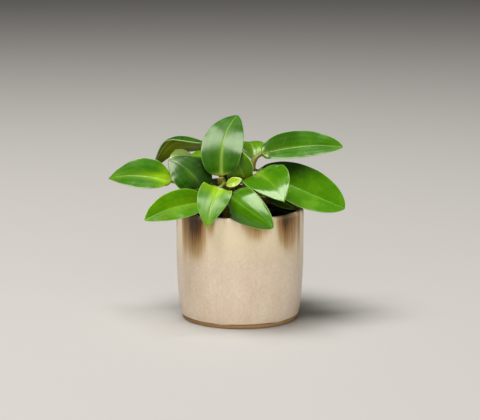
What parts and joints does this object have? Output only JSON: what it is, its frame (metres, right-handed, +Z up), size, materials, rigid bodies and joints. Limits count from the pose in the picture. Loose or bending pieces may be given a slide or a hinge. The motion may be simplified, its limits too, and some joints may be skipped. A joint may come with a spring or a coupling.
{
  "type": "potted peperomia",
  "caption": "Small peperomia with thick glossy oval leaves on short fleshy shoots, standing in soil in a plastic grower's pot inside a beige glazed stoneware cache-pot.",
  "frame": {"origin": "middle of the pot's flat underside, on the surface that it stands on", "axes": "+Z up along the pot's axis, +X to the right and -Y toward the front, as the plant is seen in the picture"},
  "size_m": [0.1581, 0.133, 0.1319],
  "materials": {
    "glazed_stoneware": "satin",
    "black_plastic": "matte",
    "potting_soil": "matte",
    "shoot": "satin",
    "leaf": "gloss",
    "young_leaf": "gloss"
  },
  "bodies": {
    "root": {"pot": "glazed_stoneware", "grower_pot": "black_plastic", "soil": "potting_soil", "shoot_left": "shoot", "shoot_right": "shoot", "shoot_back": "shoot", "leaf_top": "leaf", "leaf_left_far": "leaf", "leaf_left_low": "leaf", "leaf_left_inner": "leaf", "leaf_left_back": "leaf", "leaf_right_high": "leaf", "leaf_right_large": "leaf", "leaf_right_front": "leaf", "leaf_front_left": "leaf", "leaf_front_right": "leaf", "leaf_young": "young_leaf", "leaf_middle": "leaf", "leaf_back_right_upper": "leaf", "leaf_right_low": "leaf", "leaf_left_behind": "leaf", "leaf_back_left": "leaf", "leaf_back": "leaf", "leaf_back_right": "leaf", "leaf_right_back": "leaf", "leaf_left_mid_back": "leaf", "leaf_back_upper": "leaf", "leaf_back_low_left": "leaf", "leaf_back_low_right": "leaf"}
  },
  "joints": []
}
